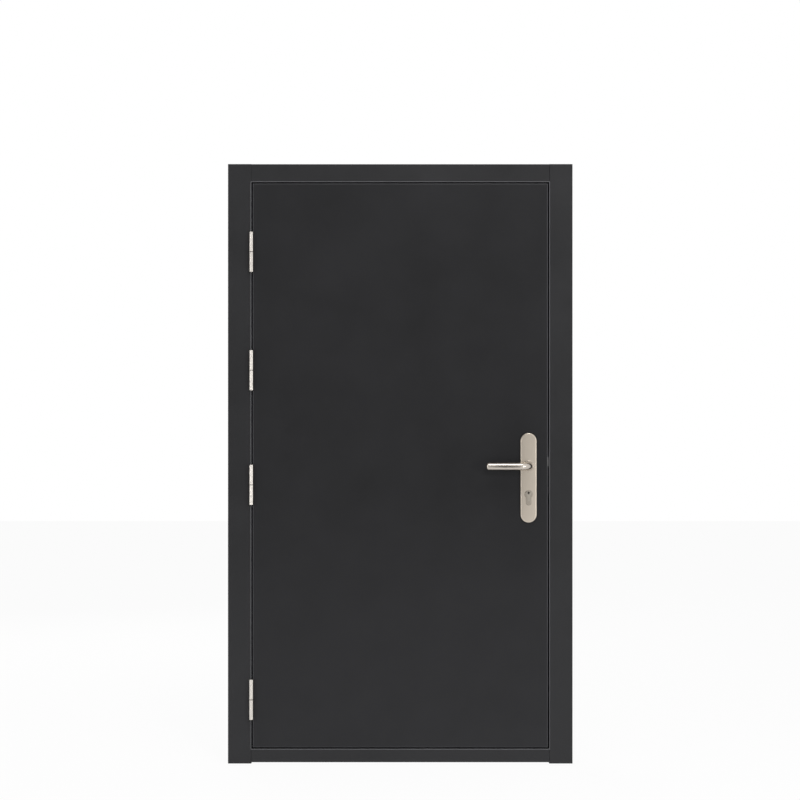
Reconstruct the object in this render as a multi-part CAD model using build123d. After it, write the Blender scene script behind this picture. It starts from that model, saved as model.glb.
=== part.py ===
from build123d import *
import os

# Steel door leaf in a folded steel frame, for a doorway cut into a shipping container.
# X runs along the width with the hinges at -X, Y runs inwards, so the outside faces -Y, and Z is up.
# The origin is on the floor line, in the middle of the frame's width and of the leaf's thickness.
# Millimetres throughout.

# Frame
FRAME_WIDTH = 1150.0
FRAME_HEIGHT = 2000.0
FRAME_DEPTH = 100.0
JAMB_FACE = 78.0
HEAD_FACE = 60.0
SILL_FACE = 45.0
SILL_LIFT = 4.0
REBATE_DEPTH = 50.0
STOP_WIDTH = 20.0
UPSTAND = 18.0
RETURN_LIP = 30.0
FRAME_SHEET = 2.0
FOLD_RADIUS = 3.0

# Leaf
LEAF_THICKNESS = 45.0
LEAF_GAP = 4.5
SKIN = 1.5
PAN_RETURN = 12.0
SEAL_THICKNESS = 4.5
SEAL_WIDTH = 12.0
SEAL_BASE = 1.5
SEAL_TAPER = 2.5
SPINDLE_HOLE = 14.0
SCREW_HOLE = 4.0

# Wall fixings through the jambs
FIXING_RADIUS = 5.5
FIXING_HEIGHTS = (250.0, 750.0, 1250.0, 1750.0)

# Hinges, given at the joint between their two halves
HINGE_HEIGHTS = (215.0, 930.5, 1312.0, 1706.5)
HINGE_HALF = 66.0
BARREL_RADIUS = 7.25
BARREL_STANDOFF = 2.0
BARREL_INSET = 0.4
BARREL_CHAMFER = 1.0
WASHER_RADIUS = 8.9
WASHER_THICKNESS = 2.5
PIN_RADIUS = 4.0
PIN_CLEARANCE = 0.05
PIN_REACH = 46.0
PIN_CHAMFER = 0.8
FLAG_THICKNESS = 3.0
FLAG_DEPTH = 29.0
FLAG_HEIGHT = 56.0
FLAG_START = 5.0
FLAG_CORNER = 5.0
FLAG_SCREW_DEPTH = 17.0
FLAG_SCREW_LENGTH = 11.0
FLAG_SCREW_SPACING = 34.0
REINFORCEMENT = 4.0
REINFORCEMENT_START = 5.0

# Lock, with its follower and cylinder on one upright line
BACKSET = 65.0
SPINDLE_HEIGHT = 993.0
CYLINDER_DROP = 92.0
SPINDLE_SIDE = 8.0
SPINDLE_HALF_LENGTH = 52.0
FOREND_THICKNESS = 3.0
FOREND_WIDTH = 20.0
FOREND_BOTTOM = 830.0
FOREND_TOP = 1065.0
FOREND_CORNER = 2.0
FOREND_SCREW_INSET = 8.0
FOREND_PLAY = 0.2
LUG_THICKNESS = 5.0
LUG_HALF = 15.0
LUG_PAST = 4.0
LUG_REACH = 16.0
POCKET_DEPTH = 12.0
POCKET_HALF = 12.0
POCKET_PLAY = 2.0
CASE_DEPTH = 90.0
CASE_BOTTOM = 865.0
CASE_TOP = 1030.0
CASE_WALL = 1.5
CASE_HALF = 8.0
FOLLOWER_RADIUS = 10.0
FOLLOWER_CLEARANCE = 0.05
ARM_REACH = 18.0
ARM_RADIUS = 4.0
ARM_DEPTHS = (-5.0, 1.5)
LATCH_HEIGHT = 1007.0
LATCH_TALL = 30.0
LATCH_HALF = 6.0
LATCH_REACH = 12.5
LATCH_TIP = 2.0
LATCH_BEVEL_START = 1.0
LATCH_ROOT = 20.0
TAIL_BOTTOM = 11.0
TAIL_TOP = 19.0
TAIL_DEPTHS = (2.0, 5.0)
HOOK_TOP = 22.0
HOOK_LENGTH = 6.0
HOOK_GAP = 1.5
BOLT_HEIGHT = 941.0
BOLT_TALL = 36.0
BOLT_HALF = 5.5
BOLT_LENGTH = 55.0
BOLT_TRAVEL = 20.0
BOLT_LUG_LENGTH = 20.0
BOLT_LUG_DROP = 5.0
BOLT_LUG_HALF = 4.0
STUD_INSET = 22.0
STUD_RADIUS = 3.5
STUD_CLEARANCE = 0.5
SLIDE_CLEARANCE = 0.3
CYLINDER_SCREW_RISE = 4.5

# Springs, bent from strip
SPRING_BEND = 3.0
LATCH_STRIP = 0.8
LATCH_STRIP_DEPTHS = (-5.0, 1.0)
LATCH_SPRING_REACH = 18.0
LATCH_SPRING_RISE = 10.0
LATCH_SPRING_DROP = 12.0
LEVER_STRIP = 1.0
LEVER_STRIP_HALF = 5.0
LEVER_SPRING_HEIGHT = 960.0
LEVER_SPRING_GAP = 0.4
LEVER_SPRING_FOOT = 8.0
LEVER_SPRING_PAD = 8.0

# Strike in the lock jamb
STRIKE_THICKNESS = 2.0
STRIKE_WIDTH = 24.0
STRIKE_BOTTOM = 895.0
STRIKE_TOP = 1048.0
STRIKE_CORNER = 4.0
STRIKE_PLAY = 0.8
JAMB_SLOT_PLAY = 1.0
STRIKE_SCREW_INSET = 10.0
STRIKE_SCREW_LENGTH = 12.0
BOX_DEPTH = 22.0
BOX_WALL = 1.2
BOX_MARGIN = 5.0
BOX_HALF = 10.0

# Profile cylinder
CYLINDER_HEAD = 8.5
CYLINDER_STEM = 5.0
CYLINDER_TALL = 33.0
CYLINDER_PROUD = 2.5
CYLINDER_HOLE_PLAY = 1.0
PLUG_RADIUS = 6.5
PLUG_CLEARANCE = 0.05
KEYWAY_HALF = 1.5
KEYWAY_BOTTOM = -1.5
KEYWAY_END = 3.0
CAM_HALF = 4.7
CAM_SLOT = 5.0
CAM_RADIUS = 7.5
CAM_NOSE = 8.0
CAM_REACH = 14.5
CAM_PLAY = 1.0
CAM_ANGLE = 30.0

# Handle set, the same inside and outside
PLATE_WIDTH = 54.0
PLATE_HEIGHT = 299.0
PLATE_CENTRE = 953.5
PLATE_THICKNESS = 10.0
PLATE_EDGE = 3.5
PLATE_SHEET = 2.0
BASE_THICKNESS = 6.0
BASE_PLAY = 0.5
BASE_BOSS = 9.0
COLLAR_HEAD = 13.0
COLLAR_STEM = 8.4
COLLAR_TOP = 911.5
COLLAR_BOTTOM = 862.7
COLLAR_HEIGHT = 2.0
COLLAR_EDGE = 1.5
COLLAR_PLAY = 0.4
BUSH_RADIUS = 18.5
BUSH_FLANGE = 4.0
BUSH_EDGE = 2.0
BUSH_SPIGOT = 15.0
LEVER_RADIUS = 13.0
LEVER_CLEARANCE = 0.05
LEVER_REACH = 143.0
LEVER_STANDOFF = 50.0
LEVER_BEND = 30.0
LEVER_END = 8.0
LEVER_START = 2.5
HANDLE_SCREW_HEIGHTS = (835.0, 1070.0)
GRUB_RADIUS = 3.0
GRUB_SETBACK = 18.5
GRUB_SINK = 0.3

# Screws, as shank radius, head radius and head depth
FLAG_SCREW = (2.5, 4.6, 2.4)
HANDLE_SCREW = (3.0, 6.0, 3.2)
SCREW_CLEARANCE = 0.2
BLIND_END = 1.0

# Worked out from the above
HALF_WIDTH = FRAME_WIDTH / 2
OPENING_HALF = HALF_WIDTH - JAMB_FACE
FRONT = -LEAF_THICKNESS / 2
STOP = FRONT + REBATE_DEPTH
BACK = FRONT + FRAME_DEPTH
LEAF_HALF = OPENING_HALF - LEAF_GAP
LEAF_BOTTOM = SILL_LIFT + SILL_FACE + LEAF_GAP
LEAF_TOP = FRAME_HEIGHT - HEAD_FACE - LEAF_GAP
HINGE_X = -OPENING_HALF + BARREL_INSET
HINGE_Y = FRONT - BARREL_RADIUS - BARREL_STANDOFF
SPINDLE_X = LEAF_HALF - BACKSET
CYLINDER_HEIGHT = SPINDLE_HEIGHT - CYLINDER_DROP
CYLINDER_HALF_LENGTH = -FRONT + PLATE_THICKNESS + CYLINDER_PROUD
CASE_FRONT = LEAF_HALF - FOREND_THICKNESS
CASE_REAR = CASE_FRONT - CASE_DEPTH
CASE_INSIDE = CASE_HALF - CASE_WALL
PLATE_FACE = FRONT - PLATE_THICKNESS
LOCK_BOLTS = ((LATCH_HEIGHT, LATCH_TALL, LATCH_HALF), (BOLT_HEIGHT, BOLT_TALL, BOLT_HALF))


def block(x_low, x_high, y_low, y_high, z_low, z_high):
    """Block between two opposite corners."""
    size = (x_high - x_low, y_high - y_low, z_high - z_low)
    centre = ((x_low + x_high) / 2, (y_low + y_high) / 2, (z_low + z_high) / 2)
    return Pos(*centre) * Box(*size)


def through_leaf(sketch, y_low, y_high):
    """Extrude a sketch drawn in X and Z across the leaf, between two depths."""
    plane = Plane((0, y_high, 0), x_dir=(1, 0, 0), z_dir=(0, -1, 0))
    return extrude(plane * sketch, y_high - y_low)


def along_width(sketch, x_low, x_high):
    """Extrude a sketch drawn in Y and Z along the door's width."""
    plane = Plane((x_low, 0, 0), x_dir=(0, 1, 0), z_dir=(1, 0, 0))
    return extrude(plane * sketch, x_high - x_low)


def upright(radius, x, y, z_low, z_high):
    """Upright round bar."""
    return extrude(Plane((x, y, z_low)) * Circle(radius), z_high - z_low)


def countersunk(screw, tip, head, clearance=0.0):
    """Countersunk screw, given as shank radius, head radius and head depth, between two points."""
    shank_radius, head_radius, head_depth = screw
    length = (head - tip).length
    plane = Plane(head, z_dir=tip - head)
    profile = Polyline(
        (0, 0),
        (head_radius + clearance, 0),
        (shank_radius + clearance, head_depth),
        (shank_radius + clearance, length),
        (0, length),
        close=True,
    )
    turned = revolve(Plane.XZ * make_face(profile), Axis.Z)
    return plane * turned


def folded_face(points, thickness):
    """Section of a folded sheet that lies to the left of a path along its outer surface."""
    path = FilletPolyline(*points, radius=FOLD_RADIUS)
    return make_face(offset(path, thickness, side=Side.LEFT).edges())


def frame_points(face, stop):
    """Outer surface of a frame member: from its wall side, round the front, rebate and stop, to the back."""
    return [
        (0, RETURN_LIP),
        (0, 0),
        (face, 0),
        (face, REBATE_DEPTH),
        (face + stop, REBATE_DEPTH),
        (face + stop, FRAME_DEPTH),
        (0, FRAME_DEPTH),
        (0, FRAME_DEPTH - RETURN_LIP),
    ]


def filled_jamb():
    """Everything inside the outer surface of the hinge side's jamb, to cut the head and sill to it."""
    points = frame_points(JAMB_FACE, STOP_WIDTH)[1:-1]
    radii = [0, 0, FOLD_RADIUS, 0, 0, 0]
    outline = FilletPolyline(*points, radius=radii, close=True)
    plane = Plane((-HALF_WIDTH, FRONT, 0))
    return extrude(plane * make_face(outline), FRAME_HEIGHT)


def plain_jamb():
    """Full-height jamb on the hinge side, with its holes for wall fixings."""
    plane = Plane((-HALF_WIDTH, FRONT, 0))
    section = folded_face(frame_points(JAMB_FACE, STOP_WIDTH), FRAME_SHEET)
    jamb = extrude(plane * section, FRAME_HEIGHT)
    for hole in wall_fixing_holes():
        jamb -= hole
    return jamb


def hinge_jamb():
    """Jamb on the hinge side, with holes for the hinges' screws."""
    jamb = plain_jamb()
    for height in HINGE_HEIGHTS:
        for screw in flag_screws(height, on_leaf=False, clearance=SCREW_CLEARANCE):
            jamb -= screw
    return jamb


def wall_fixing_holes():
    """Round holes through the reveal behind the stop, on the hinge side."""
    middle = (STOP + BACK) / 2
    reveal = -OPENING_HALF + STOP_WIDTH
    x_low, x_high = reveal - 2 * FRAME_SHEET, reveal + FRAME_SHEET
    return [
        along_width(Pos(middle, height) * Circle(FIXING_RADIUS), x_low, x_high)
        for height in FIXING_HEIGHTS
    ]


def lock_jamb():
    """Jamb on the lock side, with the slots that the latch and bolt enter."""
    jamb = mirror(plain_jamb(), about=Plane.YZ)
    for slot in strike_slots(JAMB_SLOT_PLAY):
        jamb -= slot
    for screw in strike_screws(SCREW_CLEARANCE):
        jamb -= screw
    return jamb


def cross_member(origin, z_dir, x_dir, face, stop):
    """Head or sill: a folded sheet across the opening, cut at both ends to fit the jambs."""
    plane = Plane(origin, x_dir=x_dir, z_dir=z_dir)
    section = folded_face(frame_points(face, stop), FRAME_SHEET)
    bar = extrude(plane * section, 2 * OPENING_HALF)
    jamb = filled_jamb()
    return bar - jamb - mirror(jamb, about=Plane.YZ)


def strike_slots(clearance):
    """Openings in the jamb for the latch and for the bolt."""
    return [
        along_width(
            Pos(0, height) * Rectangle(2 * (half + clearance), tall + 2 * clearance),
            OPENING_HALF - 2 * STRIKE_THICKNESS,
            OPENING_HALF + 2 * FRAME_SHEET,
        )
        for height, tall, half in LOCK_BOLTS
    ]


def strike_screws(clearance=0.0):
    """Two countersunk screws that hold the strike plate."""
    head_x = OPENING_HALF - STRIKE_THICKNESS
    tip_x = head_x + STRIKE_SCREW_LENGTH
    return [
        countersunk(FLAG_SCREW, Vector(tip_x, 0, height), Vector(head_x, 0, height), clearance)
        for height in (STRIKE_BOTTOM + STRIKE_SCREW_INSET, STRIKE_TOP - STRIKE_SCREW_INSET)
    ]


def strike_plate():
    """Plate on the lock jamb, with square openings and rounded ends."""
    middle = (STRIKE_BOTTOM + STRIKE_TOP) / 2
    outline = Pos(0, middle) * RectangleRounded(STRIKE_WIDTH, STRIKE_TOP - STRIKE_BOTTOM, STRIKE_CORNER)
    plate = along_width(outline, OPENING_HALF - STRIKE_THICKNESS, OPENING_HALF)
    for slot in strike_slots(STRIKE_PLAY):
        plate -= slot
    for screw in strike_screws():
        plate -= screw
    return plate


def strike_box():
    """Closed sheet box behind the jamb that the latch and bolt enter."""
    near = OPENING_HALF + FRAME_SHEET
    bottom = BOLT_HEIGHT - BOLT_TALL / 2 - BOX_MARGIN
    top = LATCH_HEIGHT + LATCH_TALL / 2 + BOX_MARGIN
    inner = BOX_HALF - BOX_WALL
    outside = block(near, near + BOX_DEPTH, -BOX_HALF, BOX_HALF, bottom, top)
    inside = block(near, near + BOX_DEPTH - BOX_WALL, -inner, inner, bottom + BOX_WALL, top - BOX_WALL)
    return outside - inside


def seal_section():
    """Rubber strip's section: its width along local x, its tapered lip towards the leaf along local y."""
    outline = Polyline(
        (0, 0),
        (SEAL_WIDTH, 0),
        (SEAL_WIDTH, SEAL_BASE),
        (SEAL_WIDTH - SEAL_TAPER, SEAL_THICKNESS),
        (SEAL_TAPER, SEAL_THICKNESS),
        (0, SEAL_BASE),
        close=True,
    )
    return make_face(outline)


def upright_seal():
    """Rubber strip on the lock jamb's stop, between the sill's and the head's folds."""
    z_low = SILL_LIFT + SILL_FACE + FOLD_RADIUS
    z_high = FRAME_HEIGHT - HEAD_FACE - FOLD_RADIUS
    plane = Plane((OPENING_HALF - FOLD_RADIUS, STOP, z_low), x_dir=(-1, 0, 0), z_dir=(0, 0, 1))
    return extrude(plane * seal_section(), z_high - z_low)


def cross_seal(z_edge, z_inward):
    """Level rubber strip from an edge beside a fold, inwards by its width, between the upright strips."""
    reach = OPENING_HALF - FOLD_RADIUS - SEAL_WIDTH
    x_start = -reach if z_inward > 0 else reach
    plane = Plane((x_start, STOP, z_edge), x_dir=(0, 0, z_inward), z_dir=(z_inward, 0, 0))
    return extrude(plane * seal_section(), 2 * reach)


def flag_middle(height, on_leaf):
    """Height of the middle of a hinge half's flag."""
    rise = FLAG_START + FLAG_HEIGHT / 2
    return height + rise if on_leaf else height - rise


def flag(height, on_leaf):
    """Flat wing of a hinge half, in the gap between the leaf and the jamb."""
    x_low = -LEAF_HALF - FLAG_THICKNESS if on_leaf else -OPENING_HALF
    centre = Pos((HINGE_Y + FRONT + FLAG_DEPTH) / 2, flag_middle(height, on_leaf))
    outline = centre * RectangleRounded(FRONT + FLAG_DEPTH - HINGE_Y, FLAG_HEIGHT, FLAG_CORNER)
    return along_width(outline, x_low, x_low + FLAG_THICKNESS)


def flag_screws(height, on_leaf, clearance=0.0):
    """Two countersunk screws through a hinge's flag."""
    middle = flag_middle(height, on_leaf)
    y = FRONT + FLAG_SCREW_DEPTH
    head_x = -LEAF_HALF - FLAG_THICKNESS if on_leaf else -OPENING_HALF + FLAG_THICKNESS
    tip_x = head_x + FLAG_SCREW_LENGTH if on_leaf else head_x - FLAG_SCREW_LENGTH
    offsets = (-FLAG_SCREW_SPACING / 2, FLAG_SCREW_SPACING / 2)
    return [
        countersunk(FLAG_SCREW, Vector(tip_x, y, middle + z), Vector(head_x, y, middle + z), clearance)
        for z in offsets
    ]


def hinge_half(height, on_leaf):
    """Upper half on the leaf or lower half on the frame: barrel and flag in one piece."""
    gap = WASHER_THICKNESS / 2
    if on_leaf:
        low, high = height + gap, height + gap + HINGE_HALF
        bore = upright(PIN_RADIUS + PIN_CLEARANCE, HINGE_X, HINGE_Y, low, height + PIN_REACH + PIN_RADIUS / 2)
    else:
        low, high = height - gap - HINGE_HALF, height - gap
        bore = upright(PIN_RADIUS, HINGE_X, HINGE_Y, height - PIN_REACH, high)
    half = upright(BARREL_RADIUS, HINGE_X, HINGE_Y, low, high)
    ends = half.edges().filter_by(GeomType.CIRCLE).sort_by(Axis.Z)
    half = chamfer(ends[-1] if on_leaf else ends[0], BARREL_CHAMFER)
    half = half + flag(height, on_leaf) - bore
    for screw in flag_screws(height, on_leaf):
        half -= screw
    return half


def hinge_pin(height):
    """Pin pressed into the lower half, with a chamfered top."""
    pin = upright(PIN_RADIUS, HINGE_X, HINGE_Y, height - PIN_REACH, height + PIN_REACH)
    return chamfer(pin.edges().filter_by(GeomType.CIRCLE).sort_by(Axis.Z)[-1], PIN_CHAMFER)


def hinge_washer(height):
    """Bearing washer between the halves."""
    half = WASHER_THICKNESS / 2
    ring = upright(WASHER_RADIUS, HINGE_X, HINGE_Y, height - half, height + half)
    return ring - upright(PIN_RADIUS + 2 * PIN_CLEARANCE, HINGE_X, HINGE_Y, height - half, height + half)


def threaded_plate(x_low, height, on_leaf):
    """Plate behind a sheet that a flag's two screws go into."""
    middle = flag_middle(height, on_leaf)
    y_low = FRONT + REINFORCEMENT_START
    z_low, z_high = middle - FLAG_HEIGHT / 2, middle + FLAG_HEIGHT / 2
    plate = block(x_low, x_low + REINFORCEMENT, y_low, FRONT + FLAG_DEPTH, z_low, z_high)
    for screw in flag_screws(height, on_leaf):
        plate -= screw
    return plate


def frame_reinforcements():
    """Threaded plates behind the hinge jamb's reveal, one for each hinge."""
    x_low = -OPENING_HALF - FRAME_SHEET - REINFORCEMENT
    return Compound(children=[threaded_plate(x_low, height, on_leaf=False) for height in HINGE_HEIGHTS])


def leaf_reinforcements():
    """Threaded plates inside the leaf's hinge edge, and the blocks that the lock is screwed to."""
    plates = [threaded_plate(-LEAF_HALF + SKIN, height, on_leaf=True) for height in HINGE_HEIGHTS]
    x_low, x_high = CASE_FRONT - LUG_THICKNESS, LEAF_HALF - SKIN
    ends = (
        (FOREND_BOTTOM - LUG_PAST, FOREND_BOTTOM + LUG_REACH),
        (FOREND_TOP - LUG_REACH, FOREND_TOP + LUG_PAST),
    )
    for z_low, z_high in ends:
        lug = block(x_low, x_high, -LUG_HALF, LUG_HALF, z_low, z_high) - forend_blank(0.0)
        for screw in forend_screws():
            lug -= screw
        plates.append(lug)
    return Compound(children=plates)


def forend_blank(clearance):
    """Outline of the lock's forend through the leaf's edge."""
    middle = (FOREND_BOTTOM + FOREND_TOP) / 2
    size = (FOREND_WIDTH + 2 * clearance, FOREND_TOP - FOREND_BOTTOM + 2 * clearance)
    return along_width(Pos(0, middle) * RectangleRounded(*size, FOREND_CORNER), CASE_FRONT, LEAF_HALF)


def forend_screws():
    """Two countersunk screws that hold the lock in the leaf's edge."""
    tip_x = LEAF_HALF - FLAG_SCREW_LENGTH
    return [
        countersunk(FLAG_SCREW, Vector(tip_x, 0, height), Vector(LEAF_HALF, 0, height))
        for height in (FOREND_BOTTOM + FOREND_SCREW_INSET, FOREND_TOP - FOREND_SCREW_INSET)
    ]


def cylinder_screw():
    """Long screw through the forend into the middle of the profile cylinder."""
    height = CYLINDER_HEIGHT + CYLINDER_HEAD - CYLINDER_TALL + CYLINDER_SCREW_RISE
    return countersunk(FLAG_SCREW, Vector(SPINDLE_X, 0, height), Vector(LEAF_HALF, 0, height))


def keyhole_shape(head_radius, stem_half, top, bottom):
    """Round head over a narrower stem with a rounded end, drawn in X and Z."""
    head = Pos(SPINDLE_X, top - head_radius) * Circle(head_radius)
    stem_top = top - head_radius
    stem_foot = bottom + stem_half
    stem = Pos(SPINDLE_X, (stem_top + stem_foot) / 2) * Rectangle(2 * stem_half, stem_top - stem_foot)
    foot = Pos(SPINDLE_X, stem_foot) * Circle(stem_half)
    return head + stem + foot


def cylinder_shape(clearance=0.0):
    """Profile of the lock cylinder, or of a hole that it passes through."""
    return keyhole_shape(
        CYLINDER_HEAD + clearance,
        CYLINDER_STEM + clearance,
        CYLINDER_HEIGHT + CYLINDER_HEAD + clearance,
        CYLINDER_HEIGHT + CYLINDER_HEAD - CYLINDER_TALL - clearance,
    )


def cross_hole(radius, height, y_low, y_high):
    """Round hole across the leaf on the spindle's upright line."""
    return through_leaf(Pos(SPINDLE_X, height) * Circle(radius), y_low, y_high)


def leaf_outer_skin():
    """Front sheet folded back along all four edges, open at the back."""
    tray = block(-LEAF_HALF, LEAF_HALF, FRONT, -FRONT, LEAF_BOTTOM, LEAF_TOP)
    tray = fillet(tray.faces().sort_by(Axis.Y)[0].edges(), FOLD_RADIUS)
    inner = LEAF_HALF - SKIN
    hollow = block(-inner, inner, FRONT + SKIN, -FRONT + SKIN, LEAF_BOTTOM + SKIN, LEAF_TOP - SKIN)
    hollow = fillet(hollow.faces().sort_by(Axis.Y)[0].edges(), FOLD_RADIUS - SKIN)
    tray = tray - hollow - forend_blank(FOREND_PLAY)
    tray -= cross_hole(SPINDLE_HOLE, SPINDLE_HEIGHT, FRONT, FRONT + SKIN)
    tray -= through_leaf(cylinder_shape(CYLINDER_HOLE_PLAY), FRONT, FRONT + SKIN)
    for height in HANDLE_SCREW_HEIGHTS:
        tray -= cross_hole(SCREW_HOLE, height, FRONT, FRONT + SKIN)
    for height in HINGE_HEIGHTS:
        for screw in flag_screws(height, on_leaf=True, clearance=SCREW_CLEARANCE):
            tray -= screw
    return tray


def leaf_inner_skin():
    """Back sheet with short returns, set inside the front sheet's edges."""
    half = LEAF_HALF - SKIN
    low, high = LEAF_BOTTOM + SKIN, LEAF_TOP - SKIN
    pan = block(-half, half, -FRONT - PAN_RETURN, -FRONT, low, high)
    pan = fillet(pan.faces().sort_by(Axis.Y)[-1].edges(), FOLD_RADIUS)
    inner = half - SKIN
    hollow = block(-inner, inner, -FRONT - PAN_RETURN - SKIN, -FRONT - SKIN, low + SKIN, high - SKIN)
    hollow = fillet(hollow.faces().sort_by(Axis.Y)[-1].edges(), FOLD_RADIUS - SKIN)
    pan -= hollow
    pan -= lock_pocket(half, -FRONT - SKIN)
    pan -= cross_hole(SPINDLE_HOLE, SPINDLE_HEIGHT, -FRONT - SKIN, -FRONT)
    pan -= through_leaf(cylinder_shape(CYLINDER_HOLE_PLAY), -FRONT - SKIN, -FRONT)
    for height in HANDLE_SCREW_HEIGHTS:
        pan -= cross_hole(SCREW_HOLE, height, -FRONT - SKIN, -FRONT)
    return pan


def lock_pocket(x_high, y_high):
    """Room round the forend and its blocks, from the leaf's edge inwards."""
    play = LUG_PAST + POCKET_PLAY
    y_low = -LUG_HALF - POCKET_PLAY / 2
    return block(CASE_FRONT - POCKET_DEPTH, x_high, y_low, y_high, FOREND_BOTTOM - play, FOREND_TOP + play)


def leaf_core():
    """Core slab between the skins, with pockets for the lock, its screws and the hinge plates."""
    half = LEAF_HALF - 2 * SKIN
    low, high = LEAF_BOTTOM + 2 * SKIN, LEAF_TOP - 2 * SKIN
    core = block(-half, half, FRONT + SKIN, -FRONT - SKIN, low, high)
    core = chamfer(core.faces().sort_by(Axis.Y)[-1].edges(), FOLD_RADIUS - SKIN)
    z_low, z_high = CASE_BOTTOM - POCKET_PLAY, CASE_TOP + POCKET_PLAY
    core -= block(CASE_REAR - POCKET_PLAY, half, -POCKET_HALF, POCKET_HALF, z_low, z_high)
    core -= lock_pocket(half, LUG_HALF + POCKET_PLAY / 2)
    core -= cross_hole(SPINDLE_HOLE, SPINDLE_HEIGHT, FRONT, -FRONT)
    core -= through_leaf(cylinder_shape(CYLINDER_HOLE_PLAY), FRONT, -FRONT)
    for height in HANDLE_SCREW_HEIGHTS:
        core -= cross_hole(SCREW_HOLE, height, FRONT, -FRONT)
    play = POCKET_PLAY / 2
    for height in HINGE_HEIGHTS:
        middle = flag_middle(height, on_leaf=True)
        reach = FLAG_HEIGHT / 2 + play
        y_low, y_high = FRONT + REINFORCEMENT_START - play, FRONT + FLAG_DEPTH + play
        core -= block(-half, POCKET_DEPTH - half, y_low, y_high, middle - reach, middle + reach)
    return core


def lock_forend():
    """Flat bar in the leaf's edge that the latch and bolt pass through."""
    bar = forend_blank(0.0)
    for height, tall, half in LOCK_BOLTS:
        size = (2 * (half + SLIDE_CLEARANCE), tall + 2 * SLIDE_CLEARANCE)
        bar -= along_width(Pos(0, height) * Rectangle(*size), CASE_FRONT, LEAF_HALF)
    for screw in forend_screws():
        bar -= screw
    return bar - cylinder_screw()


def lock_case():
    """Sheet box behind the forend, open towards the outside, with a stud that guides the bolt."""
    box = block(CASE_REAR, CASE_FRONT, -CASE_HALF, CASE_HALF, CASE_BOTTOM, CASE_TOP)
    box -= block(
        CASE_REAR + CASE_WALL,
        CASE_FRONT - CASE_WALL,
        -CASE_HALF,
        CASE_INSIDE,
        CASE_BOTTOM + CASE_WALL,
        CASE_TOP - CASE_WALL,
    )
    for height, tall, half in LOCK_BOLTS:
        size = (2 * (half + SLIDE_CLEARANCE), tall + 2 * SLIDE_CLEARANCE)
        box -= along_width(Pos(0, height) * Rectangle(*size), CASE_FRONT - CASE_WALL, CASE_FRONT)
    stud = Pos(CASE_FRONT - STUD_INSET, BOLT_HEIGHT) * Circle(STUD_RADIUS)
    box += through_leaf(stud, -CASE_HALF, CASE_INSIDE)
    box -= cross_hole(FOLLOWER_RADIUS + FOLLOWER_CLEARANCE, SPINDLE_HEIGHT, -CASE_HALF, CASE_HALF)
    box -= through_leaf(cylinder_shape(SLIDE_CLEARANCE), -CASE_HALF, CASE_HALF)
    return box - cylinder_screw()


def lock_case_cover():
    """Cover plate of the lock case, on its outer side."""
    y_low = -CASE_HALF - CASE_WALL
    cover = block(CASE_REAR, CASE_FRONT, y_low, -CASE_HALF, CASE_BOTTOM, CASE_TOP)
    cover -= cross_hole(FOLLOWER_RADIUS + FOLLOWER_CLEARANCE, SPINDLE_HEIGHT, y_low, -CASE_HALF)
    return cover - through_leaf(cylinder_shape(SLIDE_CLEARANCE), y_low, -CASE_HALF)


def follower():
    """Hub round the spindle, with the arm that draws the latch back."""
    hub = cross_hole(FOLLOWER_RADIUS, SPINDLE_HEIGHT, -CASE_HALF - CASE_WALL, CASE_HALF)
    arm = Pos(SPINDLE_X, SPINDLE_HEIGHT + ARM_REACH / 2) * Rectangle(2 * ARM_RADIUS, ARM_REACH)
    arm += Pos(SPINDLE_X, SPINDLE_HEIGHT + ARM_REACH) * Circle(ARM_RADIUS)
    hub += through_leaf(arm, *ARM_DEPTHS)
    return hub - spindle()


def spindle():
    """Square bar that joins the two levers through the follower."""
    square = Pos(SPINDLE_X, SPINDLE_HEIGHT) * Rectangle(SPINDLE_SIDE, SPINDLE_SIDE)
    return through_leaf(square, -SPINDLE_HALF_LENGTH, SPINDLE_HALF_LENGTH)


def latch_bolt():
    """Bevelled latch with a flat tail, hooked behind the follower's arm."""
    tip = LEAF_HALF + LATCH_REACH
    root = CASE_FRONT - LATCH_ROOT
    outline = Polyline(
        (root, -LATCH_HALF),
        (tip, -LATCH_HALF),
        (tip, -LATCH_HALF + LATCH_TIP),
        (LEAF_HALF + LATCH_BEVEL_START, LATCH_HALF),
        (root, LATCH_HALF),
        close=True,
    )
    head_low = LATCH_HEIGHT - LATCH_TALL / 2
    head = extrude(Plane((0, 0, head_low)) * make_face(outline), LATCH_TALL)
    hook_face = SPINDLE_X - ARM_RADIUS - HOOK_GAP
    hook_end = hook_face - HOOK_LENGTH
    near, far = TAIL_DEPTHS
    low = SPINDLE_HEIGHT + TAIL_BOTTOM
    tail = block(hook_end, root, near, far, low, SPINDLE_HEIGHT + TAIL_TOP)
    hook = block(hook_end, hook_face, -far, far, low, SPINDLE_HEIGHT + HOOK_TOP)
    return head + tail + hook


def bent_strip(points, thickness, y_low, y_high):
    """Flat strip spring along points drawn in X and Z, with rounded bends."""
    path = FilletPolyline(*points, radius=SPRING_BEND)
    strip = make_face(offset(path, thickness, side=Side.LEFT).edges())
    return through_leaf(strip, y_low, y_high)


def latch_spring():
    """Bent strip spring that pushes the latch out."""
    push = CASE_FRONT - LATCH_ROOT - LATCH_STRIP
    hold = CASE_FRONT - LATCH_ROOT - LATCH_SPRING_REACH
    level = LATCH_HEIGHT + LATCH_SPRING_RISE
    points = [
        (hold, CASE_TOP - CASE_WALL),
        (hold, level),
        (push, level),
        (push, LATCH_HEIGHT - LATCH_SPRING_DROP),
    ]
    return bent_strip(points, LATCH_STRIP, *LATCH_STRIP_DEPTHS)


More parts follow.
